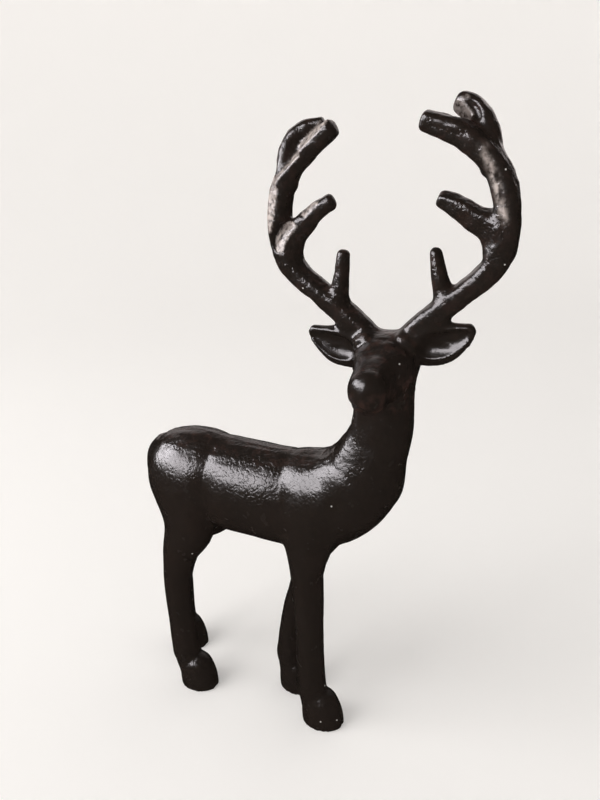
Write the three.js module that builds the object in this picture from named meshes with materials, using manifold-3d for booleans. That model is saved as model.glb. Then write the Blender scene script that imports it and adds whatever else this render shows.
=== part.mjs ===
// A small standing stag, cast in one piece of iron with its head turned to its right.
// Millimetres, +Z up. +X is the way the body walks, +Y is the animal's left.
// The hooves stand on z = 0 and the origin is the centre of the bounding box's underside.

import * as THREE from 'three';
import { ParametricGeometry } from 'three/addons/geometries/ParametricGeometry.js';
import { mergeVertices } from 'three/addons/utils/BufferGeometryUtils.js';
import Module from 'manifold-3d';

const wasm = await Module();
wasm.setup();

// ---- driving dimensions ----

const BACK_HEIGHT = 132; // hoof to the line of the back
const HEAD_X = 38.5; // the head's own middle plane, ahead of the body's centre
const HEAD_Z = 169.9; // height of the skull's centre
const ANTLER_RISE = 88.6; // skull's centre to the middle of the highest prong, near 260 in all
const ANTLER_REACH = 42; // middle plane of the head to a beam's outermost point
const HIP_X = -66; // where the hind legs leave the body
const SHOULDER_X = 3; // where the fore legs leave the body
const HOOF_LENGTH = 18.8;
const HOOF_WIDTH = 14;
const SHANK = 12.4; // thickness of a leg between knee and fetlock
const BEAM = 10.2; // thickness of an antler beam
const TINE = 7; // thickness of a tine near its tip
const EAR_SPREAD = 32; // middle plane of the head to an ear's tip

const X = new THREE.Vector3(1, 0, 0);
const Y = new THREE.Vector3(0, 1, 0);

// ---- shape tools ----

// A limb is a path with an oval section. Each station is [x, y, z, high, wide]: a point of the
// path, then the section's half size in the bending plane and its half size along "across".
// The first and last stations are the rounded tips themselves.
function limb(stations, { sides = 14, rings = 16, across = Y, blunt = 1 } = {}) {
  const path = new THREE.CatmullRomCurve3(stations.map(([x, y, z]) => new THREE.Vector3(x, y, z)));
  const size = new THREE.CatmullRomCurve3(
    stations.map(([, , , high, wide], i) => new THREE.Vector3(high, wide, i)), false, 'catmullrom');
  const length = path.getLength();

  const section = (u, v, target) => {
    const t = (1 - Math.cos(Math.PI * v)) / 2;
    const centre = path.getPoint(t);
    const half = size.getPoint(t);
    const tangent = path.getTangent(THREE.MathUtils.clamp(t, 0.001, 0.999));
    const up = new THREE.Vector3().crossVectors(tangent, across).normalize();
    const side = new THREE.Vector3().crossVectors(up, tangent).normalize();
    const toEnd = Math.min(t, 1 - t) * length;
    const cap = blunt * (half.x + half.y) / 2;
    const roundness = v === 0 || v === 1 ? 0 : Math.sqrt(1 - Math.max(0, 1 - toEnd / cap) ** 2);
    const angle = 2 * Math.PI * u;
    target.copy(centre)
      .addScaledVector(up, half.x * roundness * Math.cos(angle))
      .addScaledVector(side, -half.y * roundness * Math.sin(angle));
  };
  return toSolid(new ParametricGeometry(section, sides, rings));
}

// The geometry's corners are merged, its collapsed triangles at the poles dropped, and the rest
// becomes a manifold solid.
function toSolid(geometry) {
  geometry.deleteAttribute('normal');
  geometry.deleteAttribute('uv');
  const merged = mergeVertices(geometry, 1e-5);
  const corners = merged.index.array;
  const kept = [];
  for (let i = 0; i < corners.length; i += 3) {
    const [a, b, c] = corners.slice(i, i + 3);
    if (a !== b && b !== c && c !== a) {
      kept.push(a, b, c);
    }
  }
  return new wasm.Manifold(new wasm.Mesh({
    numProp: 3,
    vertProperties: new Float32Array(merged.attributes.position.array),
    triVerts: new Uint32Array(kept),
  }));
}

const ball = (x, y, z, rx, ry, rz) => toSolid(
  new THREE.SphereGeometry(1, 10, 7).scale(rx, ry, rz).translate(x, y, z));

const join = (solids) => solids.reduce((whole, solid) => whole.add(solid));

// ---- the body ----

function trunk() {
  const middle = BACK_HEIGHT - 23;
  return limb([
    [-78, 0, middle + 3, 13, 12],
    [-67, 0, middle + 1.6, 20.6, 17],
    [-52, 0, middle + 1.6, 23.1, 19.5],
    [-28, 0, middle - 0.2, 21.8, 18.2],
    [-4, 0, middle - 1.4, 22, 17.8],
    [12.6, 0, middle + 2.3, 20.4, 17.8],
    [25.4, 0, middle + 10.6, 15.4, 13.7],
    [38, 0, middle + 20, 9.5, 10],
  ], { sides: 22, rings: 20 });
}

function neck() {
  return limb([
    [10, 0, 106, 15, 15],
    [21, 0, 116, 17.5, 16],
    [29.5, 0, 129.5, 15, 13.5],
    [34.9, 0, 143, 11.8, 11.6],
    [HEAD_X - 2, 0, 156, 11, 11],
    [HEAD_X, 0, HEAD_Z + 2, 10, 9.6],
  ], { sides: 18, rings: 14 });
}

function tail() {
  return limb([
    [-71, 0, 126, 4, 5],
    [-77.8, 0, 120, 4.5, 5.4],
    [-80.6, 0, 110, 3.7, 4.8],
    [-77.8, 0, 100.5, 3, 3],
  ], { sides: 10, rings: 8 });
}

// ---- the legs ----

// Each foot is the hoof's middle and the x of the fetlock, the shank and the hock or knee.
const FEET = {
  right_hind: { hind: true, x: -63.4, y: -11.3, fetlock: -69, shank: -69.6, joint: -68.4 },
  left_hind: { hind: true, x: -86.4, y: 13, fetlock: -89.4, shank: -88, joint: -84.2 },
  right_fore: { hind: false, x: 4.6, y: -10, fetlock: 0.2, shank: 1, joint: 0.8 },
  left_fore: { hind: false, x: -15.9, y: 6, fetlock: -18.8, shank: -14.6, joint: -7.5 },
};

function hindLeg({ x, y, fetlock, shank, joint }) {
  const side = Math.sign(y);
  return limb([
    [HIP_X + 7, side * 6, 124, 10, 6],
    [HIP_X + 7.6, side * 9.5, 108, 13.8, 10],
    [HIP_X + 8.6, side * 10.5, 90, 12, 9.5],
    [(HIP_X + joint) / 2 + 3.4, side * 10.8, 76, 8.5, 8.2],
    [joint, side * 11, 59, 7.3, 6.8],
    [shank, y, 37, SHANK / 2 + 0.4, SHANK / 2 - 0.5],
    [fetlock, y, 18, SHANK / 2 + 0.8, SHANK / 2],
    [x - 2, y, 3, SHANK / 2, SHANK / 2],
  ], { sides: 14, rings: 20 });
}

function foreLeg({ x, y, fetlock, shank, joint }) {
  const side = Math.sign(y);
  return limb([
    [SHOULDER_X + 4, side * 7, 122, 9, 6],
    [SHOULDER_X + 3, side * 8.5, 108, 13.8, 9],
    [SHOULDER_X + 0.4, side * 8.5, 92, 10.8, 8.8],
    [(SHOULDER_X + joint) / 2 - 0.3, side * 8.2, 79, 7.5, 8],
    [joint, side * 8.2, 64, 6.9, 6.8],
    [shank, y, 42, SHANK / 2, SHANK / 2],
    [fetlock, y, 19, SHANK / 2 + 0.4, SHANK / 2],
    [x - 2.4, y, 4, SHANK / 2 + 0.4, SHANK / 2],
  ], { sides: 14, rings: 20 });
}

function hoof({ x, y }) {
  const a = HOOF_LENGTH / 2;
  const b = HOOF_WIDTH / 2;
  return limb([
    [x - 2, y, 14, a - 2.5, b - 1],
    [x - 0.8, y, 8, a - 0.6, b - 0.2],
    [x, y, 3, a, b],
    [x, y, -6, a - 0.4, b - 0.2],
  ], { sides: 16, rings: 8, blunt: 0.35 });
}

function legs() {
  return join(Object.values(FEET).map((foot) => (
    (foot.hind ? hindLeg(foot) : foreLeg(foot)).add(hoof(foot))
  )));
}

// ---- the head, which looks along -Y ----

function skull() {
  return limb([
    [HEAD_X, 10, HEAD_Z, 9, 9],
    [HEAD_X, 2, HEAD_Z + 1, 12, 12.5],
    [HEAD_X + 0.2, -8, HEAD_Z - 0.4, 10.8, 10],
    [HEAD_X + 0.9, -17, HEAD_Z - 2.2, 9.1, 8],
    [HEAD_X + 1.9, -29, HEAD_Z - 4, 7.6, 6.5],
  ], { sides: 16, rings: 14, across: X });
}

function ear(side) {
  const root = HEAD_X + side * 9;
  const tip = HEAD_X + side * EAR_SPREAD;
  const rise = HEAD_Z + 5 + side * 1.2;
  const leaf = limb([
    [root, 2, rise, 4, 3],
    [root + side * 5, 1, rise, 7, 3.4],
    [root + side * 12, 0, rise + 1.6, 7.4, 3],
    [tip - side * 4, 0, rise + 5.6, 4, 2.2],
    [tip, 0, rise + 8.4, 1.6, 1.4],
  ], { sides: 12, rings: 10 });
  const cup = limb([
    [root + side * 5, -3.4, rise - 0.5, 2.5, 2],
    [root + side * 11, -3.4, rise + 0.8, 5, 2.8],
    [tip - side * 4, -2.6, rise + 4.4, 2.5, 1.6],
  ], { sides: 10, rings: 8 });
  return leaf.subtract(cup);
}

// ---- the antlers, which stand in one plane with the ears ----

// Places are fractions of the antlers' reach and rise, so one pair of sizes drives the spread.
// An antler is its beam, which ends in the front prong, then the rear prong and two tines.
function antler(side) {
  const at = (out, up, y = 2) => [HEAD_X + side * out * ANTLER_REACH, y, HEAD_Z + up * ANTLER_RISE];
  const beam = BEAM / 2;
  const tine = TINE / 2;
  return join([
    limb([
      [...at(0.095, 0.056), beam, beam],
      [...at(0.295, 0.162), beam * 0.95, beam * 0.95],
      [...at(0.612, 0.286), beam * 0.92, beam * 0.95],
      [...at(0.922, 0.418), beam * 0.88, beam],
      [...at(1, 0.59), beam * 0.92, beam],
      [...at(0.922, 0.753), beam * 0.88, beam],
      [...at(0.69, 0.872, 1), beam * 0.86, beam * 0.85],
      [...at(0.37, 0.947, 0), tine * 0.96, tine * 0.96],
    ], { sides: 10, rings: 26 }),
    limb([
      [...at(0.888, 0.73), tine, tine],
      [...at(0.84, 0.868, 5), tine * 1.25, tine],
      [...at(0.75, 0.945, 7), tine * 1.25, tine],
      [...at(0.56, 0.988, 8.4), tine * 0.9, tine * 0.85],
    ], { sides: 10, rings: 12 }),
    limb([
      [...at(0.512, 0.236), tine * 1.2, tine],
      [...at(0.452, 0.348), tine * 0.95, tine],
      [...at(0.412, 0.476), tine * 0.66, tine * 0.68],
    ], { sides: 10, rings: 10 }),
    limb([
      [...at(0.955, 0.45), tine, tine],
      [...at(0.8, 0.564), tine * 1.25, tine * 1.1],
      [...at(0.455, 0.67), tine * 0.78, tine * 0.78],
    ], { sides: 10, rings: 10 }),
  ]);
}

// ---- the casting ----

function stag() {
  const below = toSolid(new THREE.BoxGeometry(400, 200, 40).translate(0, 0, -20));
  const eyes = [-1, 1].map((side) => ball(HEAD_X + side * 9.6, -9.5, HEAD_Z + 2, 1.8, 2.6, 2.2));
  const nose = ball(HEAD_X + 1.9, -27.6, HEAD_Z - 2.6, 6.6, 3.4, 4.4);
  const whole = join([
    trunk(), neck(), tail(), legs(), skull(), ...eyes, nose, ear(-1), ear(1), antler(-1), antler(1),
  ]).subtract(below);
  const { vertProperties, triVerts } = whole.getMesh();
  const geometry = new THREE.BufferGeometry();
  geometry.setAttribute('position', new THREE.BufferAttribute(vertProperties, 3));
  geometry.setIndex(new THREE.BufferAttribute(triVerts, 1));
  geometry.computeBoundingBox();
  const { min, max } = geometry.boundingBox;
  geometry.translate(-(min.x + max.x) / 2, -(min.y + max.y) / 2, -min.z);
  geometry.computeVertexNormals();
  const iron = new THREE.MeshStandardMaterial({ color: 0x1b1613, roughness: 0.38, metalness: 0.2 });
  const mesh = new THREE.Mesh(geometry, iron);
  mesh.name = 'stag';
  return mesh;
}

const root = new THREE.Group();
root.add(stag());
export default root;
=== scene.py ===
"""A small standing stag, sand-cast in iron and painted gloss black.

The whole figure is one casting. Its trunk, neck, head, ears, antlers and legs are limbs: oval
profiles carried along smooth paths. Their distance fields are melted together on a lattice, as
wax parts are on a founder's pattern, and the skin where the field is zero becomes one closed
mesh. Ear cups, mouth, hoof clefts and ground flats are cut into the same field, and the skin's
grain and parting flash are raised on the mesh. The pattern's sizes are in millimetres, and its
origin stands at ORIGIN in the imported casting's frame.
"""

import logging
import math
from collections.abc import Callable
from dataclasses import dataclass, field
from enum import Enum

import bpy
import numpy as np
from mathutils import Matrix, Vector


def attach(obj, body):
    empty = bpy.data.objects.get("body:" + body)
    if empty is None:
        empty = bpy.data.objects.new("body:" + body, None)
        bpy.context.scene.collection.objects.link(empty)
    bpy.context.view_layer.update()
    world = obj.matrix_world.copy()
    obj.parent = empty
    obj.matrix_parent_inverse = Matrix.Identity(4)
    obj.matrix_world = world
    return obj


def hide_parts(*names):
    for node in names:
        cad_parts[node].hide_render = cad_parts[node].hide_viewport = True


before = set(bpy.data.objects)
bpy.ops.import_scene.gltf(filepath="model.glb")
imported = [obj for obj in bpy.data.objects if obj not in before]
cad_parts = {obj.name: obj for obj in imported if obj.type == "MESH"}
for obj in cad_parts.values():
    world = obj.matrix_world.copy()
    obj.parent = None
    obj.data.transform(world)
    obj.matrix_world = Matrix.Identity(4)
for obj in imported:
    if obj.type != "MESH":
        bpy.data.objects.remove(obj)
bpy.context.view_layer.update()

log = logging.getLogger("stag")

MM = 0.001
NODE = "stag"
PIECE = "stag_casting"
BODY = "root"
SLOT = "black_painted_iron"

# ---- the pattern's driving dimensions, in millimetres ----

BACK_HEIGHT = 132.0
HEAD_X = 38.5
HEAD_Z = 169.9
ANTLER_RISE = 88.6
ANTLER_REACH = 42.0
ANTLER_Y = 2.0
HIP_X = -66.0
SHOULDER_X = 3.0
HOOF_LENGTH = 18.8
HOOF_WIDTH = 14.0
SHANK = 12.4
BEAM = 10.2
TINE = 7.0
EAR_SPREAD = 32.0

ALONG = np.array([1.0, 0.0, 0.0])
ACROSS = np.array([0.0, 1.0, 0.0])

# where the pattern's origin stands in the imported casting's frame, in metres
ORIGIN = (0.00566, 0.005482, 0.0)

# ---- bands in which one region of the skin gives way to the next: from and to, in millimetres ----

SOLES = (0.0, 2.0)
FETLOCKS = (13.0, 17.0)
FEET = (20.0, 34.0)
SHANKS = (37.0, 64.0)
THIGHS = (76.0, 86.0)
FLANKS = (82.0, 98.0)
BELLY = (84.0, 92.0)
BACK = (116.0, 124.0)
NAPE = (132.0, 140.0)
THROAT = (150.0, 158.0)
NECK_TOP = (158.0, 164.0)
CHEEKS = (HEAD_Z - 4.0, HEAD_Z)
EAR_TOPS = (HEAD_Z + 15.0, HEAD_Z + 17.0)
EAR_ROOTS = (11.0, 13.5)
NECK_FRONT = (10.0, 18.0)
BACK_FRONT = (22.0, 30.0)
MIDDLE_X = -40.0

# ---- limits of the field, in millimetres ----

OUT_OF_REACH = 30.0
THINNEST = 0.3
WHEEL_EDGE = 0.3
TINY = 1e-6

Rows = list[list[float]]


# ---- numeric tools ----


def melt(a: np.ndarray, b: np.ndarray, fillet: np.ndarray | float) -> np.ndarray:
    """Joins two distance fields with a fillet.

    The smaller distance, less a quarter of the fillet times the square of how far the two
    distances are within one fillet of each other.

    Args:
        a: distances to the first solid.
        b: distances to the second solid.
        fillet: size of the fillet.

    Returns:
        Distances to the two solids melted together.
    """
    near = np.maximum(fillet - np.abs(a - b), 0.0) / fillet
    return np.minimum(a, b) - 0.25 * fillet * near * near


def carve(a: np.ndarray, b: np.ndarray, fillet: float) -> np.ndarray:
    """Takes solid b out of solid a, with a rounded edge of the size of the fillet.

    Args:
        a: distances to the solid that stays.
        b: distances to the tool.
        fillet: rounding of the new edge.

    Returns:
        Distances to what is left.
    """
    return -melt(-a, b, fillet)


def smooth_step(x: np.ndarray, low: float, high: float) -> np.ndarray:
    """Rises from 0 at low to 1 at high as 3t squared less 2t cubed."""
    t = np.clip((x - low) / (high - low), 0.0, 1.0)
    return t * t * (3.0 - 2.0 * t)


def blend_corners(table: np.ndarray, cell: np.ndarray, part: np.ndarray) -> np.ndarray:
    """Blends a table's values at the eight corners of cells.

    The sum over the corners of the value there times, along each axis, the part itself for the
    far corner and 1 less the part for the near one. The table repeats past its ends.

    Args:
        table: the values.
        cell: N by 3 numbers of the cells' near corners.
        part: N by 3 places inside the cells, from 0 to 1.

    Returns:
        N blended values.
    """
    total = np.zeros(len(cell))
    for corner in np.ndindex(2, 2, 2):
        weight = np.prod(np.where(corner, part, 1.0 - part), axis=1)
        i, j, k = ((cell + corner) % table.shape).T
        total += weight * table[i, j, k]
    return total


def line_gap(line: np.ndarray, x: np.ndarray, y: np.ndarray, z: np.ndarray) -> np.ndarray:
    """Squared distance of places to a line of points.

    On each stretch the nearest place is where the offset's share along the chord, held
    between 0 and 1, falls; the least of the stretches' distances counts.

    Args:
        line: the points that the line runs through.
        x: X places, in any shape that broadcasts with the others.
        y: Y places.
        z: Z places.

    Returns:
        Squared distances.
    """
    gaps = []
    for start, end in zip(line[:-1], line[1:]):
        chord = end - start
        dx, dy, dz = x - start[0], y - start[1], z - start[2]
        t = np.clip((dx * chord[0] + dy * chord[1] + dz * chord[2]) / (chord @ chord), 0.0, 1.0)
        gaps.append((dx - t * chord[0]) ** 2 + (dy - t * chord[1]) ** 2 + (dz - t * chord[2]) ** 2)
    return np.minimum.reduce(gaps).astype(float)


def towards(bearing: float, height: float) -> np.ndarray:
    """Unit direction so many degrees from -Y towards +X, and so many above the floor."""
    a, e = math.radians(bearing), math.radians(height)
    return np.array([math.sin(a) * math.cos(e), -math.cos(a) * math.cos(e), math.sin(e)])


@dataclass(frozen=True)
class Grain:
    """Smooth random relief.

    Attributes:
        height: its greatest height; 1 where only its pattern is wanted.
        pitch: distance between its random heights along X, Y and Z, in millimetres.
        seed: picks the random heights.
    """

    height: float
    pitch: tuple[float, float, float]
    seed: int

    def at(self, points: np.ndarray) -> np.ndarray:
        """Heights at places: a table of random heights, blended with eased parts.

        Args:
            points: N by 3 places in millimetres.

        Returns:
            N heights.
        """
        table = np.random.default_rng(self.seed).uniform(-1.0, 1.0, (32, 32, 32))
        place = points / np.array(self.pitch) + 0.37 * self.seed
        cell = np.floor(place).astype(np.int64)
        part = place - cell
        part = part * part * (3.0 - 2.0 * part)
        return self.height * blend_corners(table, cell, part)


# ---- the casting skin's relief, one or two grains for each kind of place ----

WAVES = (Grain(0.10, (7.0, 7.0, 7.0), 3), Grain(0.05, (2.3, 2.3, 2.3), 5))
KNOBS = (Grain(0.20, (4.2, 4.2, 4.2), 11), Grain(0.13, (2.0, 2.0, 2.0), 13))
CROWN_WRINKLES = (Grain(0.20, (3.6, 1.4, 1.2), 19),)
SPINE_STREAKS = (Grain(0.22, (9.0, 1.5, 1.5), 23),)
NAPE_RIDGES = (Grain(0.28, (1.8, 1.6, 3.2), 29),)
FLASH_BREAKS = Grain(0.4, (9.0, 3.0, 9.0), 17)
FLASH_HEIGHT = 0.30
WHEEL_SKIPS = Grain(1.0, (3.2, 3.2, 2.2), 37)
# breaks up the painted highlight line down the left beam
HIGHLIGHT_BREAKS = Grain(1.0, (1.3, 1.3, 1.8), 41)


def relief_of(grains: tuple[Grain, ...], points: np.ndarray) -> np.ndarray:
    """Sum of several grains at N by 3 places."""
    return sum(grain.at(points) for grain in grains)


# ---- limbs ----


@dataclass
class Limb:
    """An oval profile carried along a smooth path.

    Attributes:
        stations: rows of x, y, z, half height and half width; the end rows are the tips.
        across: direction in which the half width is measured.
        blunt: length of the round tips, as a share of the profile's mean half size there.
        step: distance between the profiles that the field is made from.
        corners: how square the profile is: 2 for an oval, 4 for a square with round corners.
    """

    stations: Rows
    across: np.ndarray = field(default_factory=lambda: ACROSS)
    blunt: float = 1.0
    step: float = 2.0
    corners: float = 2.0

    def __post_init__(self) -> None:
        """Works out the profiles once, when the limb is made."""
        rows = np.array(self.stations, float)
        count = len(rows)
        fine = np.linspace(0.0, count - 1.0, 24 * (count - 1) + 1)
        path = self._through(rows[:, :3], fine, rooted=True)
        half = self._through(rows[:, 3:], fine, rooted=False)
        run = np.concatenate([[0.0], np.cumsum(np.linalg.norm(np.diff(path, axis=0), axis=1))])
        tips = self.blunt * half[[0, -1]].mean(axis=1)
        start, end = tips[0], max(run[-1] - tips[1], tips[0] + 0.5)
        stops = np.linspace(start, end, max(3, int((end - start) / self.step) + 2))
        self.centre = self._at(stops, run, path)
        self.half = np.maximum(self._at(stops, run, half), THINNEST)
        self.tips = tips
        heading = np.gradient(self.centre, axis=0)
        heading /= np.linalg.norm(heading, axis=1, keepdims=True)
        up = np.cross(heading, self.across)
        self.up = up / np.linalg.norm(up, axis=1, keepdims=True)
        self.side = np.cross(self.up, heading)

    @staticmethod
    def _at(stops: np.ndarray, run: np.ndarray, values: np.ndarray) -> np.ndarray:
        """Reads the columns of values at the given distances along the path."""
        return np.stack([np.interp(stops, run, column) for column in values.T], axis=1)

    @staticmethod
    def _through(rows: np.ndarray, at: np.ndarray, rooted: bool) -> np.ndarray:
        """A Catmull-Rom curve through the rows.

        Each span is the cubic that leaves and reaches its rows with the slopes that its
        neighbours give. Rooted knots stand apart by the root of their distance.

        Args:
            rows: the rows to pass through.
            at: places along the curve, one unit for each span.
            rooted: whether the knots are spaced by distance.

        Returns:
            One point for each place.
        """
        ends = [2.0 * rows[:1] - rows[1:2], rows, 2.0 * rows[-1:] - rows[-2:-1]]
        padded = np.concatenate(ends)
        span = np.minimum(at.astype(int), len(rows) - 2)
        t = (at - span)[:, None]
        x0, x1, x2, x3 = (padded[span + i] for i in range(4))
        if rooted:
            d0, d1, d2 = (
                np.maximum(np.linalg.norm(b - a, axis=1, keepdims=True), TINY) ** 0.5
                for a, b in ((x0, x1), (x1, x2), (x2, x3))
            )
            leave = d1 * ((x1 - x0) / d0 - (x2 - x0) / (d0 + d1) + (x2 - x1) / d1)
            reach = d1 * ((x2 - x1) / d1 - (x3 - x1) / (d1 + d2) + (x3 - x2) / d2)
        else:
            leave, reach = 0.5 * (x2 - x0), 0.5 * (x3 - x1)
        square = -3.0 * x1 + 3.0 * x2 - 2.0 * leave - reach
        cube = 2.0 * x1 - 2.0 * x2 + leave + reach
        return x1 + leave * t + square * t**2 + cube * t**3

    def span_distance(self, i: int, x: np.ndarray, y: np.ndarray, z: np.ndarray) -> np.ndarray:
        """Distance to one span between two profiles.

        A point is measured in the oval nearest to it. Its place over the oval's half sizes,
        each raised to the power of the corners, gives q, and the distance is q less 1 over the
        length of q's slope.

        Args:
            i: number of the span.
            x: X places, in any shape that broadcasts with the others.
            y: Y places.
            z: Z places.

        Returns:
            Signed distances, negative inside.
        """
        start, chord = self.centre[i], self.centre[i + 1] - self.centre[i]
        length = np.linalg.norm(chord)
        heading = chord / length
        dx, dy, dz = x - start[0], y - start[1], z - start[2]
        along = dx * heading[0] + dy * heading[1] + dz * heading[2]
        t = np.clip(along / length, 0.0, 1.0)
        past = along - t * length
        up = self.up[i] + self.up[i + 1]
        side = self.side[i] + self.side[i + 1]
        up, side = up / np.linalg.norm(up), side / np.linalg.norm(side)
        high = self.half[i, 0] + t * (self.half[i + 1, 0] - self.half[i, 0])
        wide = self.half[i, 1] + t * (self.half[i + 1, 1] - self.half[i, 1])
        before = self.tips[0] if i == 0 else wide
        after = self.tips[1] if i == len(self.centre) - 2 else wide
        tip = np.maximum(np.where(past < 0.0, before, after), THINNEST)
        u = np.abs(dx * up[0] + dy * up[1] + dz * up[2]) / high
        w = np.abs(dx * side[0] + dy * side[1] + dz * side[2]) / wide
        v = np.abs(past) / tip
        p = self.corners
        q = (u**p + w**p + v**p) ** (1.0 / p)
        slope = np.sqrt(
            (u ** (p - 1) / high) ** 2 + (w ** (p - 1) / wide) ** 2 + (v ** (p - 1) / tip) ** 2
        )
        return q ** (p - 1) * (q - 1.0) / np.maximum(slope, TINY)


@dataclass(frozen=True)
class Furrow:
    """A soft groove or ridge along a line of points.

    Attributes:
        line: the points it runs through.
        width: half width at which it has died away to a third.
        depth: how deep it is; a negative depth raises a ridge.
    """

    line: Rows
    width: float
    depth: float


@dataclass(frozen=True)
class Flat:
    """A ground flat.

    Attributes:
        centre: a point near the skin, in the flat's middle.
        facing: the direction it faces.
        radius: how far from the centre the wheel reached.
        depth: how far below the centre the wheel went.
    """

    centre: tuple[float, float, float]
    facing: tuple[float, float, float]
    radius: float
    depth: float

    def height(self, x: np.ndarray, y: np.ndarray, z: np.ndarray) -> tuple[np.ndarray, np.ndarray]:
        """Height of places over the flat's plane, and their distance from its centre.

        Args:
            x: X places, in any shape that broadcasts with the others.
            y: Y places.
            z: Z places.

        Returns:
            Heights over the plane, and distances from the centre.
        """
        facing = np.array(self.facing) / np.linalg.norm(self.facing)
        dx, dy, dz = (v - c for v, c in zip((x, y, z), self.centre))
        over = dx * facing[0] + dy * facing[1] + dz * facing[2] + self.depth
        return over, np.sqrt(dx * dx + dy * dy + dz * dz)


@dataclass
class Mould:
    """The lattice of distances that the pattern's parts are melted into.

    Attributes:
        low: lowest corner of the lattice.
        high: highest corner.
        step: distance between lattice points.
    """

    low: tuple[float, float, float]
    high: tuple[float, float, float]
    step: float

    def __post_init__(self) -> None:
        """Lays out the lattice, empty and far from any solid."""
        self.axes = [
            np.arange(low, high, self.step, dtype=np.float32)
            for low, high in zip(self.low, self.high)
        ]
        self.values = np.full([len(axis) for axis in self.axes], OUT_OF_REACH, np.float32)

    def window(self, low: np.ndarray, high: np.ndarray) -> tuple[slice, slice, slice]:
        """The part of the lattice between two corners.

        Args:
            low: lowest corner.
            high: highest corner.

        Returns:
            One slice for each axis.
        """
        return tuple(
            slice(*np.clip(np.searchsorted(axis, (a, b)), 0, len(axis)))
            for axis, a, b in zip(self.axes, low, high)
        )

    def grid(self, window: tuple[slice, slice, slice]) -> list[np.ndarray]:
        """X, Y and Z places of a window, shaped to broadcast."""
        return np.meshgrid(*(a[w] for a, w in zip(self.axes, window)), indexing="ij", sparse=True)

    def _join(self, limb: Limb, fillet: float, how: Callable[..., np.ndarray]) -> None:
        """Works a limb into the part of the lattice that it and its fillet can reach.

        Args:
            limb: the limb.
            fillet: size of the fillet.
            how: melt or carve.
        """
        margin = fillet + 2.0
        reach = limb.half.max() + margin
        window = self.window(limb.centre.min(axis=0) - reach, limb.centre.max(axis=0) + reach)
        values = np.full([w.stop - w.start for w in window], OUT_OF_REACH, np.float32)
        for i in range(len(limb.centre) - 1):
            ends, half = limb.centre[i : i + 2], limb.half[i : i + 2]
            reach = max(half.max(), limb.tips.max()) + margin
            near = self.window(ends.min(axis=0) - reach, ends.max(axis=0) + reach)
            inner = [
                slice(max(a.start, b.start), min(a.stop, b.stop)) for a, b in zip(near, window)
            ]
            if any(w.stop <= w.start for w in inner):
                continue
            local = tuple(slice(a.start - b.start, a.stop - b.start) for a, b in zip(inner, window))
            span = limb.span_distance(i, *self.grid(inner)).astype(np.float32)
            np.minimum(values[local], span, out=values[local])
        self.values[window] = how(self.values[window], values, fillet)

    def add(self, limb: Limb, fillet: float) -> None:
        """Melts a limb into the pattern."""
        self._join(limb, fillet, melt)

    def take(self, limb: Limb, fillet: float) -> None:
        """Carves a limb's shape out of the pattern."""
        self._join(limb, fillet, carve)

    def press(self, furrow: Furrow) -> None:
        """Adds a groove or a ridge: its depth times the bell curve of the distance to its line.

        Args:
            furrow: the groove or ridge.
        """
        line = np.array(furrow.line, float)
        reach = 2.6 * furrow.width
        window = self.window(line.min(axis=0) - reach, line.max(axis=0) + reach)
        gap = line_gap(line, *self.grid(window))
        self.values[window] += furrow.depth * np.exp(-gap / furrow.width**2)

    def grind(self, flat: Flat) -> None:
        """Cuts a flat, as a wheel would, inside a ball round its centre.

        Args:
            flat: the flat.
        """
        middle = np.array(flat.centre)
        window = self.window(middle - flat.radius, middle + flat.radius)
        over, away = flat.height(*self.grid(window))
        wheel = np.maximum(-over, away - flat.radius)
        self.values[window] = carve(self.values[window], wheel, WHEEL_EDGE)

    def sample(self, points: np.ndarray) -> np.ndarray:
        """The field between lattice points, blended from the eight corners of its cell.

        Args:
            points: N by 3 places in millimetres.

        Returns:
            N distances.
        """
        origin = np.array([axis[0] for axis in self.axes])
        place = np.clip((points - origin) / self.step, 0.0, np.array(self.values.shape) - 1.001)
        cell = place.astype(np.int64)
        return blend_corners(self.values, cell, place - cell)

    def slope(self, points: np.ndarray) -> np.ndarray:
        """The field's gradient at N by 3 points, from differences a lattice step apart.

        Args:
            points: N by 3 places in millimetres.

        Returns:
            N by 3 gradients.
        """
        shifts = np.eye(3) * self.step
        pairs = [self.sample(points + s) - self.sample(points - s) for s in shifts]
        return np.stack(pairs, axis=1) / (2.0 * self.step)


# ---- the sub-assemblies of the pattern ----


class Side(Enum):
    """Which side of its own middle plane a paired part is on."""

    RIGHT = -1
    LEFT = 1


class LegKind(Enum):
    """Which pair of legs a leg belongs to."""

    FORE = "fore"
    HIND = "hind"


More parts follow.
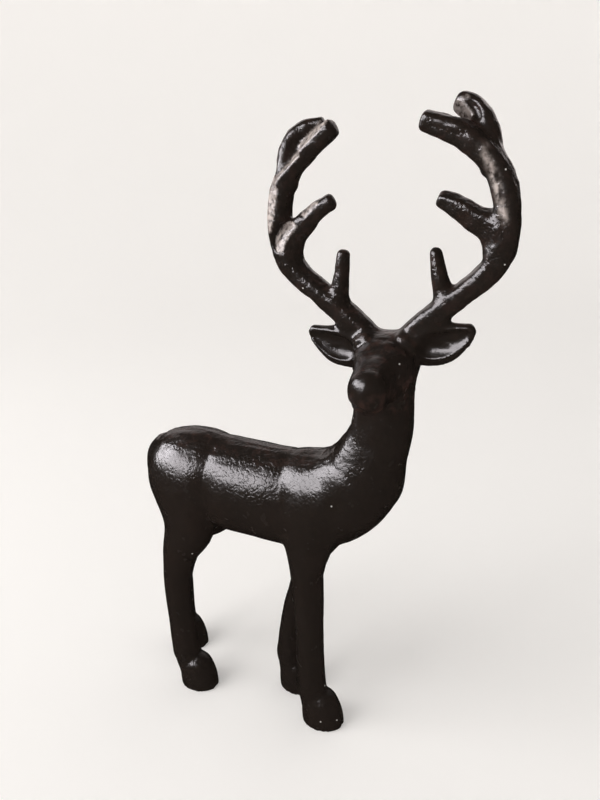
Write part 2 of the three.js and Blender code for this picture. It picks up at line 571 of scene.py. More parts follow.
@dataclass
class Trunk:
    """Barrel of the body, the neck and the tail.

    Attributes:
        middle: height of the barrel's axis.
        neck_fillet: fillet between the neck and the shoulders.
    """

    middle: float = BACK_HEIGHT - 23.0
    neck_fillet: float = 5.0

    def limbs(self) -> list[tuple[Limb, float]]:
        """The trunk's limbs, each with its fillet.

        Returns:
            Limbs and fillets, in the order in which they are melted in.
        """
        m = self.middle
        barrel = Limb([
            [-76, 0, m + 3, 13, 12],
            [-67, 0, m + 1.6, 20.2, 16.4],
            [-59, 0, m + 1.6, 22.4, 18.9],
            [-53, 0, m + 1.6, 22.7, 19.2],
            [-48, 0, m + 1.3, 22.5, 17.4],
            [-42.8, 0, m + 0.8, 22.2, 14.4],
            [-40.3, 0, m + 0.5, 22.0, 16.6],
            [-34, 0, m + 0.1, 21.7, 17.8],
            [-26, 0, m - 0.4, 21.5, 18.0],
            [-14, 0, m - 1.3, 21.7, 17.5],
            [-7.5, 0, m - 1.5, 21.8, 16.2],
            [-2.2, 0, m - 1.0, 21.6, 14.0],
            [0.4, 0, m - 0.4, 21.4, 16.2],
            [5, 0, m + 0.6, 21, 17.4],
            [12.6, 0, m + 2.3, 20, 17.5],
            [25.2, 0, m + 10.6, 15.2, 13.5],
            [38, 0, m + 20, 9.5, 10],
        ], step=1.6)
        neck = Limb([
            [10, 0, 107, 13, 13.8],
            [21, 0, 117, 15.7, 16.4],
            [24.5, 0, 122, 15.0, 15.4],
            [31.4, 0, 134.5, 12.7, 12.1],
            [34.9, 0, 143, 11.4, 11.0],
            [HEAD_X - 2, 0, 156, 10.7, 10.6],
            [HEAD_X, 0, HEAD_Z, 10, 9.4],
        ], step=2.5, corners=2.5)
        tail = Limb([
            [-71, 0, 126, 4, 5],
            [-77.6, 0, 120, 4.4, 5.4],
            [-80.4, 0, 110, 3.6, 4.8],
            [-77.6, 0, 100.5, 2.8, 3],
        ])
        return [(barrel, 1.0), (neck, self.neck_fillet), (tail, 3.0)]

    def furrows(self) -> list[Furrow]:
        """Hollows ahead of the haunches, at the withers and along the chest.

        Returns:
            The furrows of both sides.
        """
        marks = []
        for s in (side.value for side in Side):
            withers = [[18.2, 7.0 * s, 136.3], [17.7, 11.7 * s, 129.2], [14.3, 13.8 * s, 123.8]]
            marks += [
                Furrow([[-43, 19 * s, 112], [-44, 20 * s, 94]], 2.4, 0.4),
                Furrow(withers, 3.0, 0.5),
                Furrow([[20, 17 * s, 114], [17, 17 * s, 104], [12, 15 * s, 94]], 4.0, 0.5),
            ]
        return marks


@dataclass
class Leg:
    """One leg and its hoof.

    Attributes:
        kind: fore or hind.
        x: the hoof's middle along the body.
        y: the hoof's middle across the body.
        fetlock: x of the fetlock.
        shank: x of the shank.
        joint: x of the hock or the knee.
        fillet: fillet between the leg and the trunk.
    """

    JOINT_Y = {LegKind.HIND: 11.0, LegKind.FORE: 8.2}

    kind: LegKind
    x: float
    y: float
    fetlock: float
    shank: float
    joint: float
    fillet: float = 4.0

    def limb(self) -> Limb:
        """The leg from inside the trunk down into the hoof.

        Returns:
            The limb.
        """
        s = math.copysign(1.0, self.y)
        bone = SHANK / 2
        if self.kind is LegKind.HIND:
            rows = [
                [HIP_X + 7, s * 6, 124, 10, 6],
                [HIP_X + 7.6, s * 9.5, 108, 13.4, 10],
                [HIP_X + 8.8, s * 10.5, 90, 12.4, 9.5],
                [(HIP_X + self.joint) / 2 + 3.5, s * 10.8, 76, 8.6, 8],
                [self.joint + 0.2, s * self.JOINT_Y[self.kind], 59, 6.8, 6.6],
                [self.shank + 0.5, self.y, 37, bone + 0.4, bone - 0.6],
                [self.fetlock, self.y, 18, bone + 0.6, bone],
                [self.x - 2, self.y, 3, bone, bone],
            ]
        else:
            rows = [
                [SHOULDER_X + 4, s * 7, 122, 9, 6],
                [SHOULDER_X + 3, s * 8.5, 108, 13.4, 9],
                [SHOULDER_X + 0.4, s * 8.5, 92, 10.6, 8.8],
                [(SHOULDER_X + self.joint) / 2 - 0.3, s * 8.2, 79, 7.3, 8],
                [self.joint + 0.2, s * self.JOINT_Y[self.kind], 64, 6.8, 6.8],
                [self.shank, self.y, 42, bone, bone],
                [self.fetlock, self.y, 19, bone + 0.4, bone],
                [self.x - 2.4, self.y, 4, bone + 0.4, bone],
            ]
        return Limb(rows)

    def hoof(self) -> Limb:
        """The hoof, which runs on below the floor plane and is cut there.

        Returns:
            The limb.
        """
        a, b = HOOF_LENGTH / 2, HOOF_WIDTH / 2
        return Limb([
            [self.x - 1.2, self.y, 13.5, a - 2.2, b - 0.9],
            [self.x - 0.4, self.y, 8, a - 0.2, b + 0.1],
            [self.x - 0.1, self.y, 3, a + 0.5, b + 0.4],
            [self.x - 0.1, self.y, -6, a + 0.2, b + 0.2],
        ], blunt=0.25, step=1.5)

    def heel(self) -> Limb:
        """The knob behind the fetlock.

        Returns:
            The limb.
        """
        return Limb([
            [self.fetlock - 0.7, self.y, 25, 3.6, 4.2],
            [self.fetlock - 2.6, self.y, 18, 4.6, 4.8],
            [self.fetlock - 2.2, self.y, 13.0, 3.6, 4.2],
        ], step=1.5)

    def furrows(self) -> list[Furrow]:
        """The cleft of the hoof, front and back.

        Returns:
            The furrows.
        """
        a = HOOF_LENGTH / 2
        front, back = self.x + a, self.x - a
        return [
            Furrow([[front - 2.6, self.y, 11], [front, self.y, 5], [front, self.y, 0]], 0.8, 0.6),
            Furrow([[back, self.y, 6], [back, self.y, 0]], 0.9, 0.6),
        ]


@dataclass
class Head:
    """Skull, muzzle, nose and eyes; it looks along -Y.

    Attributes:
        x: where its own middle plane stands.
        z: height of its middle.
        collars: half thickness of the ridge round the foot of each antler.
    """

    x: float = HEAD_X
    z: float = HEAD_Z
    collars: dict[Side, float] = field(default_factory=lambda: {Side.RIGHT: 2.1, Side.LEFT: 1.5})

    def limbs(self) -> list[tuple[Limb, float]]:
        """The head's limbs, each with its fillet.

        Returns:
            Limbs and fillets, in the order in which they are melted in.
        """
        x, z = self.x, self.z
        cranium = Limb([
            [x, 12, z, 9, 9],
            [x, 4, z + 0.6, 11.4, 11],
            [x, -3, z + 0.4, 11.3, 10.8],
            [x - 0.4, -11.5, z + 0.8, 9.5, 9.6],
        ], across=ALONG, blunt=0.8, step=1.5)
        muzzle = Limb([
            [x, 4, z - 1, 9, 9],
            [x + 0.2, -8, z - 1.0, 9.6, 9.0],
            [x + 0.9, -17, z - 2.2, 9.0, 7.9],
            [x + 1.9, -29.2, z - 4.2, 7.6, 6.4],
        ], across=ALONG, blunt=0.8, step=1.5, corners=2.2)
        nose = Limb([
            [x - 1.2, -25.6, z - 3.0, 4.6, 3.6],
            [x + 1.8, -26.6, z - 2.4, 5.6, 4.0],
            [x + 5.2, -25.6, z - 3.0, 4.6, 3.6],
        ], step=0.8)
        parts = [(cranium, 3.0), (muzzle, 4.5), (nose, 4.0)]
        for side in Side:
            s = side.value
            brow = Limb([
                [x + s * 5, -13, z + 4.6, 1.2, 1.2],
                [x + s * 8.0, -9.5, z + 5.0, 1.4, 1.3],
                [x + s * 9.8, -4, z + 4.4, 1.2, 1.1],
            ], step=1.0)
            eye = Limb([
                [x + s * 7.6, -12.8, z + 1.2, 1.1, 1.1],
                [x + s * 8.5, -10.2, z + 1.7, 1.5, 1.4],
                [x + s * 9.3, -7.6, z + 1.5, 1.1, 1.1],
            ], step=0.7)
            thick = self.collars[side]
            collar = Limb([
                [x + s * 5.6, -3.4, z + 11.6, 1.4, 1.4],
                [x + s * 9.0, -3.6, z + 9.4, thick, thick],
                [x + s * 12.4, -2.6, z + 6.4, 1.5, 1.5],
            ], step=0.8)
            parts += [(brow, 3.5), (eye, 0.7), (collar, 2.0)]
        return parts

    def burr(self) -> Limb:
        """A burr left on the parting line under the left ear.

        Returns:
            The limb.
        """
        x, z = self.x + 9.6, self.z
        return Limb([
            [x - 0.4, 0.5, z - 10.4, 0.5, 0.5],
            [x + 0.2, 0.3, z - 8.6, 0.7, 0.6],
            [x - 0.4, 0.5, z - 7.0, 0.5, 0.5],
        ], step=0.6)

    def furrows(self) -> list[Furrow]:
        """Mouth, nostrils, the hollow of the forehead and those under the eyes.

        Returns:
            The furrows.
        """
        middle, x, z = self.x, self.x + 0.8, self.z
        lips = [[x - 5, -26.5, z - 6.8], [x, -29, z - 7.0], [x + 5, -26.5, z - 6.8]]
        marks = [
            Furrow([[middle, -13, z + 7.5], [middle, -6, z + 11]], 3.0, 0.7),
            Furrow(lips, 0.8, 0.55),
        ]
        for side in Side:
            s = side.value
            marks += [
                Furrow([[x + s * 5, -26.5, z - 6.8], [x + s * 7.2, -18, z - 6.2]], 0.8, 0.5),
                Furrow([[x + s * 2.6, -31, z - 2.6], [x + s * 4.6, -29.6, z - 1.8]], 0.7, 0.7),
                Furrow([[middle + s * 8, -15, z - 1], [middle + s * 7.4, -21, z - 1.6]], 1.8, 0.45),
            ]
        return marks


@dataclass
class Ear:
    """A leaf-shaped ear with its cup open to the front.

    Attributes:
        side: which side of the head's own middle plane it is on.
        lift: how much higher this ear is set than an even pair.
        front: y of the ear's middle at its root.
    """

    side: Side
    lift: float
    front: float = 1.5

    def at(self, out: float, y: float, up: float, high: float, wide: float) -> list[float]:
        """A station from how far it stands out from the head, and up from the ear's root."""
        x = HEAD_X + self.side.value * out
        return [x, self.front + y, HEAD_Z + 5.0 + self.lift + up, high, wide]

    def leaf(self) -> Limb:
        """The ear's outer leaf.

        Returns:
            The limb.
        """
        at, spread = self.at, EAR_SPREAD
        return Limb([
            at(spread - 24.0, 0.5, 0.6, 5.8, 3.2),
            at(spread - 18.0, 0.0, 1.0, 7.6, 3.8),
            at(spread - 11.0, -0.8, 2.9, 7.5, 3.6),
            at(spread - 5.0, -1.0, 5.5, 4.8, 2.9),
            at(spread - 0.2, -1.0, 8.8, 1.5, 1.5),
        ], step=1.0)

    def cup(self) -> Limb:
        """The hollow scooped out of the leaf's front, deepest under its upper edge.

        Returns:
            The limb to carve out.
        """
        at, spread = self.at, EAR_SPREAD
        return Limb([
            at(spread - 20.0, -5.2, 1.2, 4.0, 3.0),
            at(spread - 15.0, -5.4, 1.8, 5.4, 4.2),
            at(spread - 9.0, -5.6, 3.4, 5.4, 4.2),
            at(spread - 4.0, -4.6, 5.4, 3.3, 3.0),
            at(spread - 0.8, -3.6, 7.1, 1.2, 1.8),
        ], step=1.0)

    def fold(self) -> Limb:
        """The dark fold of the cup, cut deeper along its upper half.

        Returns:
            The limb to carve out.
        """
        at, spread = self.at, EAR_SPREAD
        return Limb([
            at(spread - 18.5, -3.2, 2.4, 1.6, 1.4),
            at(spread - 12.0, -3.2, 4.4, 2.2, 1.9),
            at(spread - 5.0, -3.0, 6.2, 1.4, 1.4),
        ], step=1.0)


@dataclass
class Antler:
    """Beam, rear prong, brow tine and middle tine of one antler.

    Places are fractions of the antlers' reach and rise.

    Attributes:
        side: which side of the head's own middle plane it is on.
        prong: stations of the rear prong: out, up, half height, half width and y.
        tip: out and up of the front prong's end.
        turn: direction in which the rear prong's half width is measured.
        shift: how far the brow tine leans out, as a fraction of the reach.
        droop: how far the middle tine hangs, as a fraction of the rise.
    """

    side: Side
    prong: list[tuple[float, float, float, float, float]]
    tip: tuple[float, float]
    turn: tuple[float, float, float]
    shift: float = 0.0
    droop: float = 0.0

    def at(self, out: float, up: float, high: float, wide: float,
           y: float = ANTLER_Y) -> list[float]:
        """A station from its fractions of reach and rise and its half sizes."""
        x = HEAD_X + self.side.value * out * ANTLER_REACH
        return [x, y, HEAD_Z + up * ANTLER_RISE, high, wide]

    def limbs(self) -> list[tuple[Limb, float]]:
        """The antler's limbs, each with its fillet; the rear prong comes last.

        The left antler's beam and middle tine are squarer and its brow tine is slimmer.

        Returns:
            Limbs and fillets, in the order in which they are melted in.
        """
        b, t, at, lean = BEAM / 2, TINE / 2, self.at, self.shift
        tilted = np.array([0.0, 0.98, 0.18])
        far = self.side is Side.LEFT
        turned = np.array([0.0, 0.96, 0.28]) if far else tilted
        beam = Limb([
            at(0.095 - 0.5 * lean, 0.056, b, b),
            at(0.295 - 0.5 * lean, 0.162, b * 0.84, b * 0.95),
            at(0.612, 0.284, b * 0.75, b * 0.95),
            at(0.922, 0.418, b * 0.8, b),
            at(1.002, 0.59, b * 0.79, b),
            at(0.923, 0.753, b * 0.78, b),
            at(0.69, 0.869, b * 0.81, b * 0.85, 1.0),
            at(*self.tip, t * 0.88, t * 0.9, 0.0),
        ], across=tilted, blunt=0.7, step=1.5, corners=3.3 if far else 2.9)
        rows = [at(*row) for row in self.prong]
        prong = Limb(rows, across=np.array(self.turn), blunt=0.7, step=1.2, corners=3.0)
        slim = 0.48 if far else 0.62
        brow = Limb([
            at(0.512 + lean, 0.236, t * 1.2, t),
            at(0.452 + lean, 0.348, t * 0.85, t * 0.95),
            at(0.412 + lean, 0.476, t * slim, t * slim),
        ], step=1.2, corners=2.2)
        middle = Limb([
            at(0.95, 0.432, t * 1.25, t),
            at(0.87, 0.527 + 1.3 * self.droop, t * 1.3, t * 1.1),
            at(0.78, 0.572 + 0.1 * self.droop, t * 1.15, t * 1.1),
            at(0.6, 0.642 - 0.7 * self.droop, t * 0.88, t * 0.95),
            at(0.455, 0.673 - 0.6 * self.droop, t * (0.6 if far else 0.74), t * 0.7),
        ], across=turned, step=1.2, corners=4.0 if far else 2.7)
        return [(beam, 3.0), (brow, 2.4), (middle, 2.8), (prong, 1.6)]

    def flats(self) -> list[Flat]:
        """Where the wheel touched the right antler: up the beam and over the front prong.

        Returns:
            The flats; the left antler has none.
        """
        if self.side is Side.LEFT:
            return []
        return [
            Flat((1.2, -2.8, 216.6), (-0.36, -0.85, 0.38), 6.5, 0.3),
            Flat((-6.4, -2.4, 228.0), (-0.42, -0.9, 0.12), 9.0, 0.7),
            Flat((-3.8, -2.0, 238.0), (-0.5, -0.8, 0.33), 5.5, 0.8),
            Flat((3.0, -0.4, 243.4), (-0.543, -0.45, 0.71), 7.0, 0.45),
            Flat((13.0, -1.4, 250.4), (-0.543, -0.45, 0.71), 9.0, -0.5),
            Flat((12.3, -1.0, 229.0), (-0.38, -0.78, 0.5), 6.5, 0.5),
        ]

    def highlight_line(self) -> np.ndarray:
        """A painted highlight in light iron colour, along a line down the left beam's inner side
        where the window lamp's highlight runs.

        Returns:
            N by 3 points; the right antler has none.
        """
        if self.side is Side.RIGHT:
            return np.empty((0, 3))
        return np.array([
            [73.5, -2.4, 243.5],
            [76.6, -2.8, 236.0],
            [78.8, -3.0, 228.0],
            [80.4, -3.0, 221.5],
        ])

    def snapped(self) -> list[Flat]:
        """The faces where the left rear prong's riser broke off.

        Returns:
            The flats; the right antler has none.
        """
        if self.side is Side.RIGHT:
            return []
        return [
            Flat((64.4, 5.3, 254.8), (-0.42, -0.86, -0.28), 4.2, 0.75),
            Flat((66.2, 4.8, 258.6), (-0.15, -0.85, 0.5), 1.7, 0.1),
        ]

    def scoop(self) -> Limb | None:
        """The hollow left in the left rear prong's end where its riser broke off.

        Returns:
            The limb to carve out; the right antler has none.
        """
        if self.side is Side.RIGHT:
            return None
        return Limb([
            [66.0, 4.4, 258.4, 0.9, 1.0],
            [69.0, 3.8, 255.4, 1.7, 1.6],
            [70.6, 3.8, 251.8, 1.0, 1.0],
        ], step=0.8)


# ---- the casting ----


@dataclass
class Skin:
    """A closed mesh in millimetres.

    Attributes:
        points: N by 3 corners.
        quads: M by 4 corner numbers, counter-clockwise seen from outside.
    """

    points: np.ndarray
    quads: np.ndarray

    def relax(self, mould: Mould, rounds: int) -> None:
        """Evens the corners out along the surface and lays them back on it.

        Each corner moves half way to the mean of its neighbours, then back along the field's
        slope by the field's value.

        Args:
            mould: the field that the skin belongs to.
            rounds: how often this is done.
        """
        starts = self.quads.ravel()
        ends = np.roll(self.quads, -1, axis=1).ravel()
        count = len(self.points)
        ties = np.bincount(starts, minlength=count)[:, None]
        for _ in range(rounds):
            sums = [np.bincount(starts, self.points[ends, i], count) for i in range(3)]
            self.points += 0.5 * (np.stack(sums, axis=1) / ties - self.points)
            slope = mould.slope(self.points)
            steep = np.maximum((slope**2).sum(axis=1), 0.05)
            step = np.clip(mould.sample(self.points) / steep, -0.6, 0.6)
            self.points -= step[:, None] * slope


def skin_of(mould: Mould) -> Skin:
    """Finds the surface where the field is zero.

    A cell of the lattice that the surface passes through gets one corner, at the mean of the
    places where the surface crosses the cell's edges. A lattice edge that it crosses gets one
    face, between the four cells round that edge.

    Args:
        mould: the lattice of distances.

    Returns:
        The closed skin.
    """
    f = mould.values
    inside = f < 0.0
    shape = np.array(f.shape) - 1
    total = np.zeros(shape, np.int8)
    for corner in np.ndindex(2, 2, 2):
        view = tuple(slice(c, c + n) for c, n in zip(corner, shape))
        total += inside[view]
    cells = np.argwhere((total > 0) & (total < 8))
    number = np.full(shape, -1, np.int64)
    number[tuple(cells.T)] = np.arange(len(cells))
    sums, hits = np.zeros((len(cells), 3)), np.zeros(len(cells))
    for axis in range(3):
        for corner in np.ndindex(2, 2, 2):
            if corner[axis]:
                continue
            head = cells + corner
            tail = head + np.eye(3, dtype=int)[axis]
            a, b = f[tuple(head.T)], f[tuple(tail.T)]
            crossed = (a < 0) != (b < 0)
            share = np.where(crossed, a / np.where(crossed, a - b, 1.0), 0.0)
            place = head.astype(float)
            place[:, axis] += share
            sums += place * crossed[:, None]
            hits += crossed
    origin = np.array([axis[0] for axis in mould.axes])
    points = origin + sums / hits[:, None] * mould.step
    faces = []
    for axis in range(3):
        u, v = (axis + 1) % 3, (axis + 2) % 3
        step = np.eye(3, dtype=int)
        low = [slice(1, n) for n in shape]
        low[axis] = slice(0, shape[axis])
        high = list(low)
        high[axis] = slice(1, shape[axis] + 1)
        a, b = inside[tuple(low)], inside[tuple(high)]
        edges = np.argwhere(a != b) + np.array([0 if i == axis else 1 for i in range(3)])
        leaving = inside[tuple(edges.T)]
        ring = [edges - step[u] - step[v], edges - step[v], edges, edges - step[u]]
        quad = np.stack([number[tuple(cell.T)] for cell in ring], axis=1)
        quad[~leaving] = quad[~leaving][:, ::-1]
        faces.append(quad)
    return Skin(points, np.concatenate(faces))


@dataclass
class Casting:
    """The stag's pattern, its skin and the small faults of its casting.

    Attributes:
        step: lattice step of the mould.
        face_limit: most triangles that the finished skin may have.
        seam_shift: how far the legs' parting ridge stands off their middles, towards -Y.
        trunk: the trunk.
        head: the head.
        ears: both ears.
        antlers: both antlers.
        legs: the four legs.
    """

    step: float = 0.7
    face_limit: int = 190_000
    seam_shift: float = 1.6
    trunk: Trunk = field(default_factory=Trunk)
    head: Head = field(default_factory=Head)
    ears: list[Ear] = field(default_factory=lambda: [Ear(Side.RIGHT, -1.2), Ear(Side.LEFT, 1.55)])
    antlers: list[Antler] = field(default_factory=lambda: [
        Antler(Side.RIGHT, [
            (0.90, 0.72, 3.4, 3.5, 2.0),
            (0.89, 0.85, 4.4, 3.4, 4.5),
            (0.80, 0.925, 4.5, 3.2, 6.5),
            (0.56, 0.968, 2.6, 2.6, 7.5),
        ], (0.398, 0.95), (-0.42, 0.88, 0.2), -0.02, 0.003),
        Antler(Side.LEFT, [
            (0.885, 0.73, 3.2, 3.4, 2.0),
            (0.81, 0.88, 4.2, 3.6, 6.0),
            (0.71, 0.955, 4.2, 3.6, 8.0),
            (0.565, 1.002, 3.1, 3.2, 9.0),
        ], (0.342, 0.943), (0.247, 0.968, -0.025), 0.015, 0.014),
    ])
    legs: list[Leg] = field(default_factory=lambda: [
        Leg(LegKind.HIND, -63.4, -11.3, -69.0, -69.9, -68.4),
        Leg(LegKind.HIND, -86.4, 13.0, -89.4, -88.2, -84.2),
        Leg(LegKind.FORE, 4.6, -10.0, 0.2, 1.0, 0.7),
        Leg(LegKind.FORE, -15.9, 6.0, -18.8, -14.6, -7.6),
    ])

    def mould(self) -> Mould:
        """Melts every part of the pattern into one field.

        Returns:
            The finished field.
        """
        mould = Mould((-98.0, -36.0, -3.0), (89.0, 24.0, 265.0), self.step)
        for limb, fillet in self.trunk.limbs():
            mould.add(limb, fillet)
        self._add_legs(mould)
        for limb, fillet in self.head.limbs():
            mould.add(limb, fillet)
        for ear in self.ears:
            mould.add(ear.leaf(), 2.0)
            mould.take(ear.cup(), 0.5)
            mould.take(ear.fold(), 0.5)
        mould.add(self.head.burr(), 0.6)
        for antler in self.antlers:
            *branches, prong = antler.limbs()
            for limb, fillet in branches:
                mould.add(limb, fillet)
            for flat in antler.flats():
                mould.grind(flat)
            mould.add(*prong)
            for flat in antler.snapped():
                mould.grind(flat)
            if antler.scoop():
                mould.take(antler.scoop(), 0.4)
        furrows = self.trunk.furrows() + self.head.furrows()
        for leg in self.legs:
            furrows += leg.furrows()
        for furrow in furrows:
            mould.press(furrow)
        heights = mould.axes[2][None, None, :]
        mould.values = np.maximum(mould.values, -heights)
        return mould

    def _add_legs(self, mould: Mould) -> None:
        """Melts each pair of legs in on its own side, so that the two sides stay apart.

        Args:
            mould: the field, with the trunk in it.
        """
        body = mould.values
        sides = []
        for side in Side:
            mould.values = body.copy()
            for leg in self.legs:
                if leg.y * side.value > 0:
                    mould.add(leg.limb(), leg.fillet)
                    mould.add(leg.heel(), 1.4)
                    mould.add(leg.hoof(), 0.8)
            sides.append(mould.values)
        mould.values = melt(sides[0], sides[1], 0.8)

    def relief(self, points: np.ndarray, normals: np.ndarray) -> np.ndarray:
        """Height of the casting skin's waves, of the knobs on the antlers and of the flash.

        Args:
            points: N by 3 places on the skin.
            normals: N by 3 outward unit normals.

        Returns:
            N heights in millimetres, positive outward.
        """
        x, y, z = points.T
        antlers = smooth_step(z, HEAD_Z + 9.0, HEAD_Z + 22.0)
        crown = smooth_step(z, HEAD_Z + 5.0, HEAD_Z + 9.0) * (1.0 - antlers)
        spine = smooth_step(normals[:, 2], 0.55, 0.85) * smooth_step(z, *BACK)
        spine *= 1.0 - smooth_step(x, *BACK_FRONT)
        nape = smooth_step(-normals[:, 0], 0.45, 0.8) * smooth_step(z, *NAPE)
        nape *= (1.0 - smooth_step(z, *NECK_TOP)) * smooth_step(x, *NECK_FRONT)
        local = antlers * relief_of(KNOBS, points) + crown * relief_of(CROWN_WRINKLES, points)
        local += spine * relief_of(SPINE_STREAKS, points)
        local += nape * relief_of(NAPE_RIDGES, points)
        edge_on = 1.0 - smooth_step(np.abs(normals[:, 1]), 0.25, 0.6)
        plane = np.where(z > HEAD_Z + 12.0, ANTLER_Y, 0.0)
        broken = 0.6 + FLASH_BREAKS.at(points)
        flash = FLASH_HEIGHT * broken * edge_on * np.exp(-(((y - plane) / 0.7) ** 2))
        flash *= smooth_step(z, *BELLY)
        flash += FLASH_HEIGHT * self.leg_seam(points, normals)
        fade = smooth_step(z, *SOLES)
        return fade * (relief_of(WAVES, points) + local + flash)

    def leg_seam(self, points: np.ndarray, normals: np.ndarray) -> np.ndarray:
        """Share of the mould's parting ridge that runs down the front and back of the legs.

        It follows each leg's middle, shifted a little towards -Y, as a bell curve of the
        distance from it, and shows only where the skin does not face along Y.

        Args:
            points: N by 3 places in millimetres.
            normals: N by 3 outward unit normals.

        Returns:
            N shares, 1 on the ridge's crest and 0 away from it.
        """
        x, y, z = points.T
        raised = smooth_step(z, *SHANKS)
        plane = np.zeros(len(points))
        for leg in self.legs:
            mine = ((x < MIDDLE_X) == (leg.kind is LegKind.HIND)) & ((y < 0.0) == (leg.y < 0.0))
            low, high = abs(leg.y), leg.JOINT_Y[leg.kind]
            plane[mine] = low + (high - low) * raised[mine]
        edge_on = 1.0 - smooth_step(np.abs(normals[:, 1]), 0.45, 0.75)
        seam = edge_on * np.exp(-(((np.abs(y + self.seam_shift) - plane) / 0.6) ** 2))
        return seam * smooth_step(z, *FETLOCKS) * (1.0 - smooth_step(z, *THIGHS))

    def wear_and_highlights(self, points: np.ndarray, normals: np.ndarray) -> dict[str, np.ndarray]:
        """How the finish varies over the skin, painted highlights on the antlers included.

        Args:
            points: N by 3 places in millimetres.
            normals: N by 3 outward unit normals.

        Returns:
            Shares from 0 to 1: paint worn to brown, light iron on the wheel-cut flats and in
                painted highlights, and coarse sand grain.
        """
        x, z = points[:, 0], points[:, 2]
        antlers = smooth_step(z, HEAD_Z + 8.0, HEAD_Z + 20.0)
        outer = 0.35 + 0.65 * smooth_step(-normals[:, 0], 0.0, 0.7)
        crown = smooth_step(z, HEAD_Z + 4.0, HEAD_Z + 9.0) * (1.0 - antlers)
        spine = smooth_step(normals[:, 2], 0.6, 0.9) * smooth_step(z, *BACK)
        head = smooth_step(z, *THROAT)
        cheeks = head * (1.0 - smooth_step(z, *CHEEKS))
        ears = smooth_step(np.abs(x - HEAD_X), *EAR_ROOTS) * head
        ears *= 1.0 - smooth_step(z, *EAR_TOPS)
        worn = np.clip(antlers * outer + 0.6 * crown + 0.8 * spine + 0.9 * cheeks, 0.0, 1.0)
        flank = np.exp(-(((x + 18.0) / 15.0) ** 2))
        body = smooth_step(z, *FLANKS)
        feet = 1.0 - smooth_step(z, *FEET)
        coarse = 0.25 + body * (0.2 + 0.32 * flank) - 0.08 * head + 0.2 * antlers + 0.6 * feet
        return {
            "worn": worn * (1.0 - 0.8 * ears),
            # light iron on the wheel-cut flats and broken faces: partly their iron, partly a
            # painted highlight
            "ground_and_highlight": self.bared_and_highlit(points),
            "coarse": np.clip(coarse, 0.0, 1.0) * (1.0 - 0.4 * ears),
        }

    def bared_and_highlit(self, points: np.ndarray) -> np.ndarray:
        """Where the antlers are painted light iron: on the wheel-cut flats, partly their iron and
        partly a painted highlight, and along the highlight line, a painted highlight only.

        On a flat it falls from 1 with the height over the flat's plane; along the line it is a
        bell curve of the distance. Both are broken up by a grain.

        Args:
            points: N by 3 places in millimetres.

        Returns:
            N shares from 0 to 1.
        """
        iron_and_highlight = np.zeros(len(points))
        skips = 0.45 + 0.55 * smooth_step(WHEEL_SKIPS.at(points), -0.9, 0.3)
        highlight_breaks = smooth_step(HIGHLIGHT_BREAKS.at(points), -0.7, 0.5)
        for antler in self.antlers:
            # each flat and broken face is painted light iron: partly its iron, partly a painted
            # highlight
            cuts = [(flat, skips) for flat in antler.flats()]
            cuts += [(flat, 0.4) for flat in antler.snapped()]
            for flat, share in cuts:
                over, away = flat.height(*points.T)
                on = (1.0 - smooth_step(np.abs(over), 0.15, 0.45)) * (away < flat.radius)
                iron_and_highlight = np.maximum(iron_and_highlight, on * share)
            # the line down the left beam is a painted highlight in the light iron colour
            line = antler.highlight_line()
            if len(line):
                highlight_line = 0.95 * np.exp(-line_gap(line, *points.T) / 1.2**2)
                iron_and_highlight = np.maximum(iron_and_highlight, highlight_line * highlight_breaks)
        return iron_and_highlight

    def build(self) -> bpy.types.Object:
        """Makes the skin, roughens it, lays it in its place in the frame and thins it.

        Returns:
            The finished piece.
        """
        mould = self.mould()
        skin = skin_of(mould)
        skin.relax(mould, 3)
        normals = mould.slope(skin.points)
        normals /= np.maximum(np.linalg.norm(normals, axis=1, keepdims=True), TINY)
        skin.points += self.relief(skin.points, normals)[:, None] * normals
        skin.points[:, 2] = np.where(skin.points[:, 2] < 0.3, 0.0, skin.points[:, 2])
        log.info("skin of %d corners and %d faces", len(skin.points), len(skin.quads))
        places = skin.points * MM + np.array(ORIGIN)
        piece = put(PIECE, mesh_of(PIECE, places, skin.quads))
        self._thin(piece, 2 * len(skin.quads))
        self._mark(piece.data)
        return piece

    def _mark(self, mesh: bpy.types.Mesh) -> None:
        """Writes the wear and the painted highlights into the mesh, one attribute for each share.

        Args:
            mesh: the finished mesh.
        """
        points, normals = np.empty((2, 3 * len(mesh.vertices)))
        mesh.vertices.foreach_get("co", points)
        mesh.vertices.foreach_get("normal", normals)
        pattern = (points.reshape(-1, 3) - np.array(ORIGIN)) / MM
        for name, share in self.wear_and_highlights(pattern, normals.reshape(-1, 3)).items():
            layer = mesh.attributes.new(name, "FLOAT", "POINT")
            layer.data.foreach_set("value", share.astype(np.float32))

    def _thin(self, piece: bpy.types.Object, triangles: int) -> None:
        """Collapses edges where the skin is flattest, until the face limit holds.

        Args:
            piece: the casting.
            triangles: how many it has now.
        """
        thin = piece.modifiers.new("thin", "DECIMATE")
        thin.ratio = min(1.0, self.face_limit / triangles)
        graph = bpy.context.evaluated_depsgraph_get()
        thinned = bpy.data.meshes.new_from_object(piece.evaluated_get(graph))
        old = piece.data
        piece.modifiers.clear()
        piece.data = thinned
        bpy.data.meshes.remove(old)
        thinned.name = PIECE
        thinned.shade_smooth()


def put(name: str, data: bpy.types.ID) -> bpy.types.Object:
    """Puts a mesh, a light or a camera into the scene as a new object at the origin.

    Args:
        name: the object's name.
        data: what it shows.

    Returns:
        The object.
    """
    thing = bpy.data.objects.new(name, data)
    bpy.context.scene.collection.objects.link(thing)
    return thing


